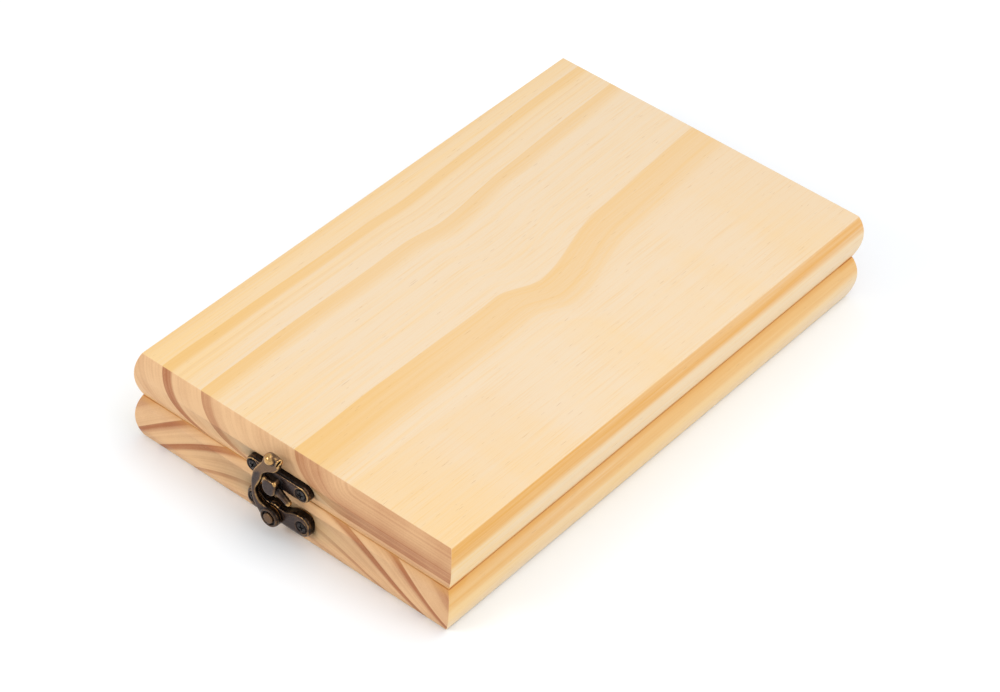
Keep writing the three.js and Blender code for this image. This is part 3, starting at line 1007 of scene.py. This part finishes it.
@dataclass(frozen=True)
class PaperFloor(Finish):
    """Matt white paper under the case."""

    name: str = "white_floor"
    white: Colour = (0.925, 0.96, 0.995, 1.0)
    tint: Colour = (0.91, 0.945, 0.98, 1.0)
    cloud: Waves = Waves((0.004, 0.004, 0.004))
    roughness: float = 0.9
    specular: float = 0.1

    def paint(self, shader: Shader) -> None:
        """Connects the shader."""
        paper = shader.mix(self.white, self.tint, shader.noise(self.cloud))
        shader.coat(paper, self.roughness, specular=self.specular)


# ---- Sub-assemblies ---------------------------------------------------------------------


def dress(piece: Piece, finish: bpy.types.Material, body: Body, slot: Slot,
          *nodes: str) -> None:
    """Gives a piece its finish, its body and the frame nodes that it stands for.

    Args:
        piece: The finished piece.
        finish: Its material.
        body: The body that it rides on.
        slot: Its material slot, which is not used.
        *nodes: The frame nodes that it replaces.
    """
    piece.data.materials.clear()
    piece.data.materials.append(finish)
    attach(piece, body.value)
    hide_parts(*nodes)
    log.info("%s rides on %s with %d faces", piece.name, body.value, len(piece.data.polygons))


@dataclass
class Well:
    """A milled hollow of a board."""

    low_x: float
    high_x: float
    length: float
    corner: float = 6 * MM
    corner_steps: int = 10
    floor_round: float = 0.9 * MM
    floor_steps: int = 4
    mouth: float = 0.4 * MM

    def cutter(self, floor: float, seam: float) -> Piece:
        """Builds the body that mills the well.

        Args:
            floor: Height of the well's floor.
            seam: Height of its mouth, above or below the floor.

        Returns:
            The cutter.
        """
        up = 1 if seam > floor else -1
        half = self.length / 2
        brim = seam - up * self.mouth
        low = Vector((self.low_x, -half, min(floor, brim)))
        high = Vector((self.high_x, half, max(floor, brim)))
        cutter = Bench.block("well_cutter", low, high)
        Bench.bevel(cutter, self.corner, self.corner_steps, lambda edge: (
            abs((edge.verts[0].co - edge.verts[1].co).normalized().z) > PARALLEL))
        Bench.bevel(cutter, self.floor_round, self.floor_steps,
                    lambda edge: all(abs(vert.co.z - floor) < MERGE for vert in edge.verts))
        width = self.high_x - self.low_x
        over = 2 * self.mouth
        with Bench.editing(cutter):
            Bench.choose(cutter, "FACE", lambda face: face.normal.z * up > PARALLEL)
            bpy.ops.mesh.extrude_region_move(TRANSFORM_OT_translate={"value": (0, 0, up * over)})
            bpy.ops.transform.resize(
                value=((width + 2 * over) / width, (self.length + 2 * over) / self.length, 1),
                center_override=((self.low_x + self.high_x) / 2, 0, brim))
        return cutter


@dataclass
class CaseBoard:
    """One thick board of the case with crowned edges, wells and seats."""

    name: str
    node: str
    body: Body
    finish: Pine
    wells: tuple[Well, ...]
    plate: str
    leaves: tuple[str, str]
    holes: tuple[str, ...]
    crown: float = 2.0 * MM
    wall: float = 5.0 * MM
    levels: int = 22
    arris: float = 0.3 * MM
    arris_steps: int = 3
    plate_gap: float = 0.1 * MM
    mortise_gap: float = 0.3 * MM
    mortise_depth: float = 1.3 * MM

    def blank(self, low: Vector, high: Vector) -> Piece:
        """Builds the solid board with its crowned edges.

        Args:
            low: Lowest corner of its box.
            high: Highest corner of its box.

        Returns:
            The board.
        """
        inset = Vector((self.crown, self.crown, 0))
        flat = high - inset
        board = Bench.block(self.name, low + inset, flat)
        half = (high.z - low.z) / 2
        middle = (high.z + low.z) / 2
        radius = (half**2 + self.crown**2) / (2 * self.crown)
        sweep = math.asin(half / radius)
        turns = [sweep * (2 * step / self.levels - 1) for step in range(1, self.levels)]
        heights = [middle + radius * math.sin(turn) for turn in turns]
        with Bench.editing(board):
            for height in heights:
                bpy.ops.mesh.select_all(action="SELECT")
                bpy.ops.mesh.bisect(plane_co=(0, 0, height), plane_no=(0, 0, 1))
            for turn, height in zip(turns, heights):
                bulge = radius * math.cos(turn) - (radius - self.crown)
                Bench.choose(board, "VERT", lambda vert: abs(vert.co.z - height) < MERGE)
                bpy.ops.transform.resize(
                    value=((flat.x + bulge) / flat.x, (flat.y + bulge) / flat.y, 1),
                    center_override=(0, 0, height))

        def outer(edge: bmesh.types.BMEdge) -> bool:
            """Picks the creases round both faces and the mitres at the corners."""
            first, second = (vert.co.z for vert in edge.verts)
            face_gap = min(abs(first - low.z), abs(first - high.z))
            return abs(first - second) > MERGE or face_gap < MERGE

        Bench.bevel(board, self.arris, self.arris_steps, outer)
        return board

    def seat(self, board: Piece, node: str) -> None:
        """Cuts a frame node out of the board with a gap round it.

        Args:
            board: The board.
            node: The node's name.
        """
        cutter = Bench.copy_of(node, "seat_cutter")
        with Bench.editing(cutter):
            bpy.ops.transform.shrink_fatten(value=self.plate_gap)
        Bench.combine(board, cutter, "DIFFERENCE")

    def build(self) -> None:
        """Builds the board, mills it and dresses it."""
        low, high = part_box(self.node)
        board = self.blank(low, high)
        upside_down = self.body is Body.LID
        floor = high.z - self.wall if upside_down else low.z + self.wall
        mouth = low.z if upside_down else high.z
        beyond = mouth + (high.z - low.z) * (-1 if upside_down else 1)
        for well in self.wells:
            Bench.combine(board, well.cutter(floor, mouth), "DIFFERENCE")
        self.seat(board, self.plate)
        gap = self.mortise_gap
        for leaf in self.leaves:
            leaf_low, leaf_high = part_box(leaf)
            far = leaf_high.z + gap if upside_down else leaf_low.z - gap
            corner = Vector((leaf_low.x - gap, high.y - self.mortise_depth, min(beyond, far)))
            opposite = Vector((leaf_high.x + gap, high.y + self.crown, max(beyond, far)))
            mortise = Bench.block("mortise_cutter", corner, opposite)
            Bench.combine(board, mortise, "DIFFERENCE")
        for hole in self.holes:
            self.seat(board, hole)
        Bench.smooth(board)
        dress(board, self.finish.material(), self.body, Slot.PINE, self.node)


@dataclass
class Screw:
    """A countersunk cross-slot screw, modelled once and copied."""

    head_radius: float = 1.72 * MM
    head_depth: float = 1.1 * MM
    head_sides: int = 40
    dome: float = 0.24 * MM
    # Shares of the head's radius and the dome's height that each step takes
    dome_steps: tuple[Span, ...] = ((0.18, 0.55), (0.3, 0.3), (0.3, 0.15))
    shank_radius: float = 0.85 * MM
    tip_share: float = 0.25
    slot_width: float = 0.5 * MM
    slot_length: float = 2.3 * MM
    slot_depth: float = 0.75 * MM
    edge: float = 0.07 * MM
    edge_steps: int = 2
    edge_angle: float = math.radians(50)

    def model(self, length: float) -> Piece:
        """Builds a screw that points up, with its head's rim at the origin.

        Args:
            length: How deep it reaches.

        Returns:
            The screw.
        """
        screw = Bench.add("screw_pattern", bpy.ops.mesh.primitive_cone_add,
                          vertices=self.head_sides, radius1=self.shank_radius,
                          radius2=self.head_radius, depth=self.head_depth,
                          location=(0, 0, -self.head_depth / 2))
        with Bench.editing(screw):
            Bench.choose(screw, "FACE", lambda face: face.normal.z > PARALLEL)
            for share, lift in self.dome_steps:
                bpy.ops.mesh.inset(thickness=self.head_radius * share)
                bpy.ops.transform.translate(value=(0, 0, self.dome * lift))
            Bench.choose(screw, "FACE", lambda face: face.normal.z < -PARALLEL)
            for drop in (self.head_depth - length + self.shank_radius, -self.shank_radius):
                bpy.ops.mesh.extrude_region_move(TRANSFORM_OT_translate={"value": (0, 0, drop)})
            bpy.ops.transform.resize(value=(self.tip_share, self.tip_share, 1),
                                     center_override=(0, 0, 0))
        for wide, deep in ((self.slot_length, self.slot_width), (self.slot_width, self.slot_length)):
            low = Vector((-wide / 2, -deep / 2, self.dome - self.slot_depth))
            high = Vector((wide / 2, deep / 2, self.slot_depth))
            Bench.combine(screw, Bench.block("slot_cutter", low, high), "DIFFERENCE")
        Bench.apply(screw, "BEVEL", width=self.edge, segments=self.edge_steps,
                    limit_method="ANGLE", angle_limit=self.edge_angle, use_clamp_overlap=True)
        Bench.smooth(screw)
        return screw

    def place(self, pattern: Piece, node: str, turn: float) -> Piece:
        """Copies the screw to where a frame node is.

        Args:
            pattern: The screw that points up.
            node: The node that it stands for.
            turn: How far its slots are turned.

        Returns:
            The copy.
        """
        low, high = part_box(node)
        front = low.y < 0
        copy = Bench.twin(pattern, f"{node}_turned")
        copy.rotation_mode = "QUATERNION"
        aim = Vector((0, -1 if front else 1, 0)).to_track_quat("Z", "Y")
        copy.rotation_quaternion = aim @ Quaternion((0, 0, 1), turn)
        rim = low.y + self.dome if front else high.y - self.dome
        copy.location = at_depth(middle_of(node), rim)
        return Bench.settle(copy)


@dataclass
class Latch:
    """The cast latch: catch plate with its horn, pivot plate, swing arm and rivet."""

    casting: Casting = field(default_factory=Casting)
    finish: AgedBrass = field(default_factory=AgedBrass)
    countersink: float = 2.15 * MM
    countersink_flare: float = 1.12
    countersink_depth: float = 0.45 * MM
    sheltered_rim: float = 0.35 * MM
    eye_rim: float = 2.95 * MM
    eye_rim_round: float = 0.42 * MM
    eye_recess: float = 2.4 * MM
    eye_recess_depth: float = 0.5 * MM
    eye_radius: float = 3.6 * MM
    eye_round: float = 0.45 * MM
    play: float = 0.2 * MM
    slit: Place = (0.45 * MM, 2.2 * MM, 3.0 * MM)
    slit_inset: float = 0.95 * MM
    slit_drop: float = 1.9 * MM
    slit_lean: float = math.radians(-24)
    knob_radius: float = 1.95 * MM
    knob_rise: float = 24.7 * MM
    knob_spread: float = 1.04
    sheen_and_handling_from: float = 15.5 * MM
    sheen_and_handling_to: float = 18.5 * MM
    boss_radius: float = 4.1 * MM
    boss_round: float = 1.1 * MM
    round_sides: int = 96
    rivet_radius: float = 1.9 * MM
    rivet_sides: int = 56
    rivet_head: float = 0.7 * MM
    rivet_overlap: float = 0.05 * MM
    rivet_edge: float = 0.35 * MM
    rivet_edge_steps: int = 5
    rivet_handled: float = 0.9
    shank_radius: float = 1.05 * MM
    shank_overlap: float = 0.2 * MM
    shank_sides: int = 40

    def sink(self, plate: Piece, screws: Sequence[str]) -> list[Vector]:
        """Sinks a round recess round each screw.

        Args:
            plate: The plate.
            screws: The nodes of its screws.

        Returns:
            The middles of the recesses.
        """
        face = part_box("pivot_plate_screw_left")[0].y
        centres = [at_depth(middle_of(node), face) for node in screws]
        for centre in centres:
            tool = Bench.rod("sink_cutter", centre, self.countersink, 2 * self.countersink_depth,
                             Axis.FRONT, end_radius=self.countersink * self.countersink_flare)
            Bench.combine(plate, tool, "DIFFERENCE")
        return centres

    def swell(self, piece: Piece, radius: float, front: float, back: float,
              reach: float) -> None:
        """Joins a disc round the rivet's axis to a piece, and bores it for the rivet.

        Args:
            piece: The plate or the arm.
            radius: The disc's radius.
            front: Where the disc begins.
            back: Where it ends.
            reach: Length of the bore's tool.
        """
        axis = middle_of("arm_rivet")
        disc = Bench.rod("disc", at_depth(axis, (front + back) / 2), radius, back - front,
                         Axis.FRONT, self.round_sides)
        Bench.combine(piece, disc, "UNION")
        bore = Bench.rod("bore", at_depth(axis, (front + back) / 2),
                         self.shank_radius + self.play, reach, Axis.FRONT)
        Bench.combine(piece, bore, "DIFFERENCE")

    def plate(self, node: str, screws: Sequence[str], boss: float = 0.0) -> Piece:
        """Builds one plate from its frame node.

        Args:
            node: The plate's node.
            screws: The nodes of its screws.
            boss: Radius of the boss round the rivet, if the plate has one.

        Returns:
            The plate.
        """
        plate = Bench.copy_of(node, f"{node}_cast")
        if boss:
            low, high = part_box(node)
            front = low.y + self.boss_round
            self.swell(plate, boss, front, high.y, 2 * (high.y - front))
        self.casting.finish(plate, self.sink(plate, screws), self.countersink + self.sheltered_rim)
        return plate

    def arm(self) -> Piece:
        """Builds the swing arm with its eye, spine and knobbed head.

        Returns:
            The arm.
        """
        low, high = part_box("swing_arm")
        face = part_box("arm_rivet")[0].y + self.rivet_head
        centre = at_depth(middle_of("arm_rivet"), face)
        arm = Bench.copy_of("swing_arm", "swing_arm_cast")
        self.swell(arm, self.eye_radius, face + self.eye_round, high.y, 3 * (high.y - face))
        middle = Vector((high.x - self.slit_inset, face, high.z - self.slit_drop))
        half = Vector(self.slit) / 2
        slit = Bench.block("slit", middle - half, middle + half)
        with Bench.editing(slit):
            bpy.ops.transform.rotate(
                value=self.slit_lean, orient_axis="Y", center_override=middle)
        rim = Bench.ring("rim", centre, self.eye_rim, self.eye_rim_round)
        recess = Bench.rod("recess", centre, self.eye_recess, 2 * self.eye_recess_depth,
                           Axis.FRONT, self.rivet_sides)
        knob = Vector((centre.x, low.y + self.knob_radius, centre.z + self.knob_rise))
        Bench.combine(arm, slit, "DIFFERENCE")
        Bench.combine(arm, rim, "UNION")
        Bench.combine(arm, recess, "DIFFERENCE")
        Bench.combine(arm, Bench.ball("knob", knob, self.knob_radius), "UNION")
        self.casting.finish(arm, (centre,), self.eye_rim + self.sheltered_rim)
        start, end = self.sheen_and_handling_from, self.sheen_and_handling_to

        def handling_and_sheen_at(place: Vector) -> float:
            """Handling polish and painted sheen lighten the arm's neck and head, and its knob most
            of all.
            """
            share = ((place - centre).length - start) / (end - start)
            on_knob = (place - knob).length < self.knob_radius * self.knob_spread
            return min(max(share, 0), 1) + on_knob

        self.casting.handle(arm, handling_and_sheen_at)
        return arm

    def rivet(self) -> Piece:
        """Builds the rivet that the arm turns on.

        Returns:
            The rivet.
        """
        low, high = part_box("arm_rivet")
        axis = middle_of("arm_rivet")
        back = low.y + self.rivet_head + self.eye_recess_depth - self.rivet_overlap
        rivet = Bench.rod("arm_rivet_head", at_depth(axis, (low.y + back) / 2), self.rivet_radius,
                          back - low.y, Axis.FRONT, self.rivet_sides)
        Bench.bevel(rivet, self.rivet_edge, self.rivet_edge_steps,
                    lambda face: face.normal.y < -PARALLEL, "FACE")
        shank = Bench.rod("shank", at_depth(axis, (back + high.y) / 2), self.shank_radius,
                          high.y - back + self.shank_overlap, Axis.FRONT, self.shank_sides)
        Bench.combine(rivet, shank, "UNION")
        self.casting.finish(rivet, (at_depth(axis, low.y),), self.boss_radius)
        self.casting.handle(rivet, lambda place: self.rivet_handled)
        return rivet

    def build(self) -> None:
        """Builds and dresses the latch."""
        metal = self.finish.material()
        catch = self.plate("catch_plate", ("catch_screw_left", "catch_screw_right"))
        dress(catch, metal, Body.LID, Slot.BRASS, "catch_plate")
        lower = self.plate("pivot_plate", ("pivot_plate_screw_left", "pivot_plate_screw_right"),
                           self.boss_radius)
        dress(lower, metal, Body.BASE, Slot.BRASS, "pivot_plate")
        dress(self.arm(), metal, Body.ARM, Slot.BRASS, "swing_arm")
        dress(self.rivet(), metal, Body.BASE, Slot.BRASS, "arm_rivet")


@dataclass
class Hinges:
    """Two butt hinges at the back of the case."""

    casting: Casting = field(
        default_factory=lambda: Casting(grain=0.16 * MM, soften=3, wear_rounds=6))
    finish: AgedBrass = field(default_factory=lambda: AgedBrass("hinge_brass"))
    pin_sides: int = 32
    pin_round: float = 0.3 * MM
    pin_steps: int = 4

    def build(self) -> None:
        """Builds and dresses the leaves and the pins."""
        metal = self.finish.material()
        for side in ("left", "right"):
            for half, body in (("base", Body.BASE), ("lid", Body.LID)):
                node = f"{half}_hinge_leaf_{side}"
                leaf = Bench.copy_of(node, f"{node}_pressed")
                self.casting.finish(leaf)
                dress(leaf, metal, body, Slot.BRASS, node)
            node = f"hinge_pin_{side}"
            low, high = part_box(node)
            pin = Bench.rod(f"{node}_turned", (low + high) / 2, (high.z - low.z) / 2,
                            high.x - low.x, Axis.X, self.pin_sides)
            Bench.bevel(pin, self.pin_round, self.pin_steps,
                        lambda edge: abs(edge.verts[0].co.x - edge.verts[1].co.x) < MERGE)
            Bench.smooth(pin)
            dress(pin, metal, Body.BASE, Slot.BRASS, node)


@dataclass
class Screws:
    """All the screws of the case."""

    screw: Screw = field(default_factory=Screw)
    finish: DarkSteel = field(default_factory=DarkSteel)
    turn: float = 0.55
    # Lengths that agree to this many digits of a metre share a screw
    length_digits: int = 5

    def build(self) -> None:
        """Builds one screw for each length and copies it to its places."""
        metal = self.finish.material()
        bodies = frame["record"]["behaviour"]["bodies"]
        patterns: dict[float, Piece] = {}
        nodes = sorted(node for members in bodies.values() for node in members if "screw" in node)
        for index, node in enumerate(nodes):
            low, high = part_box(node)
            length = round(high.y - low.y - self.screw.dome, self.length_digits)
            if length not in patterns:
                patterns[length] = self.screw.model(length)
            copy = self.screw.place(patterns[length], node, self.turn * (index + 1))
            body = Body.BASE if node in bodies["base"] else Body.LID
            dress(copy, metal, body, Slot.STEEL, node)
        for pattern in patterns.values():
            bpy.data.objects.remove(pattern)


# ---- Studio -----------------------------------------------------------------------------


@dataclass(frozen=True)
class Lamp:
    """A soft box, in metres and watts."""

    name: str
    place: Place
    size: Span
    power: float
    tint: Place

    def build(self, target: Place) -> None:
        """Hangs the lamp so that it looks at a target.

        Args:
            target: The target.
        """
        Bench.clear()
        bpy.ops.object.light_add(type="AREA", location=self.place)
        lamp = bpy.context.view_layer.objects.active
        lamp.name = self.name
        lamp.data.shape = "RECTANGLE"
        lamp.data.size, lamp.data.size_y = self.size
        lamp.data.energy = self.power
        lamp.data.color = self.tint
        lamp.rotation_mode = "QUATERNION"
        lamp.rotation_quaternion = (Vector(target) - Vector(self.place)).to_track_quat("-Z", "Y")


@dataclass
class Studio:
    """White floor, soft lights and the camera."""

    target: Place = (5.0 * MM, -10.7 * MM, 17.5 * MM)
    azimuth: float = math.radians(36.71)
    elevation: float = math.radians(41.76)
    roll: float = math.radians(4.187)
    distance: float = 1.0745
    lens: float = 119.98
    sensor: float = 36.0
    floor_size: float = 12.0
    floor_drop: float = 0.15 * MM
    sky: Colour = (1.0, 1.0, 1.0, 1.0)
    sky_strength: float = 0.75
    lamps: tuple[Lamp, ...] = (
        Lamp("overhead", (0.35, 0.3, 1.5), (1.3, 1.3), 7.5, (1.0, 0.99, 0.97)),
        Lamp("right", (1.5, 0.1, 0.9), (0.9, 0.9), 5.5, (1.0, 0.99, 0.98)),
        Lamp("front", (-0.5, -1.12, 0.95), (0.6, 0.22), 5.5, (1.0, 0.985, 0.96)),
    )

    def camera(self) -> None:
        """Sets up the camera."""
        back = Vector((math.sin(self.azimuth) * math.cos(self.elevation),
                       -math.cos(self.azimuth) * math.cos(self.elevation),
                       math.sin(self.elevation)))
        Bench.clear()
        bpy.ops.object.camera_add(location=Vector(self.target) + back * self.distance)
        camera = bpy.context.view_layer.objects.active
        camera.name = "camera"
        camera.rotation_mode = "QUATERNION"
        level = (-back).to_track_quat("-Z", "Y")
        camera.rotation_quaternion = level @ Quaternion((0, 0, 1), self.roll)
        camera.data.lens = self.lens
        camera.data.sensor_width = self.sensor
        bpy.context.scene.camera = camera

    def build(self) -> None:
        """Builds the studio."""
        self.camera()
        floor = Bench.add("floor", bpy.ops.mesh.primitive_plane_add, size=self.floor_size,
                          location=(0, 0, -self.floor_drop))
        floor.data.materials.append(PaperFloor().material())
        for lamp in self.lamps:
            lamp.build(self.target)
        world = bpy.data.worlds.new("studio")
        world.use_nodes = True
        background = world.node_tree.nodes["Background"]
        background.inputs[0].default_value = self.sky
        background.inputs[1].default_value = self.sky_strength
        bpy.context.scene.world = world
        bpy.context.scene.view_settings.view_transform = "Standard"


def main() -> None:
    """Builds the case piece by piece."""
    logging.basicConfig(level=logging.INFO, format="%(name)s: %(message)s")
    side, length = 55 * MM, 190 * MM
    divider_left, divider_right = -25 * MM, -20 * MM
    base = CaseBoard(
        "base_board", "base_shell", Body.BASE, BasePine("base_pine"),
        (Well(-side, divider_left, length), Well(divider_right, side, length)),
        "pivot_plate", ("base_hinge_leaf_left", "base_hinge_leaf_right"),
        ("pivot_plate_screw_left", "pivot_plate_screw_right"))
    lid = CaseBoard(
        "lid_board", "lid_shell", Body.LID, LidPine("lid_pine"), (Well(-side, side, length),),
        "catch_plate", ("lid_hinge_leaf_left", "lid_hinge_leaf_right"),
        ("catch_screw_left", "catch_screw_right"))
    base.build()
    lid.build()
    Latch().build()
    Hinges().build()
    Screws().build()
    Studio().build()


if __name__ == "__main__":
    main()
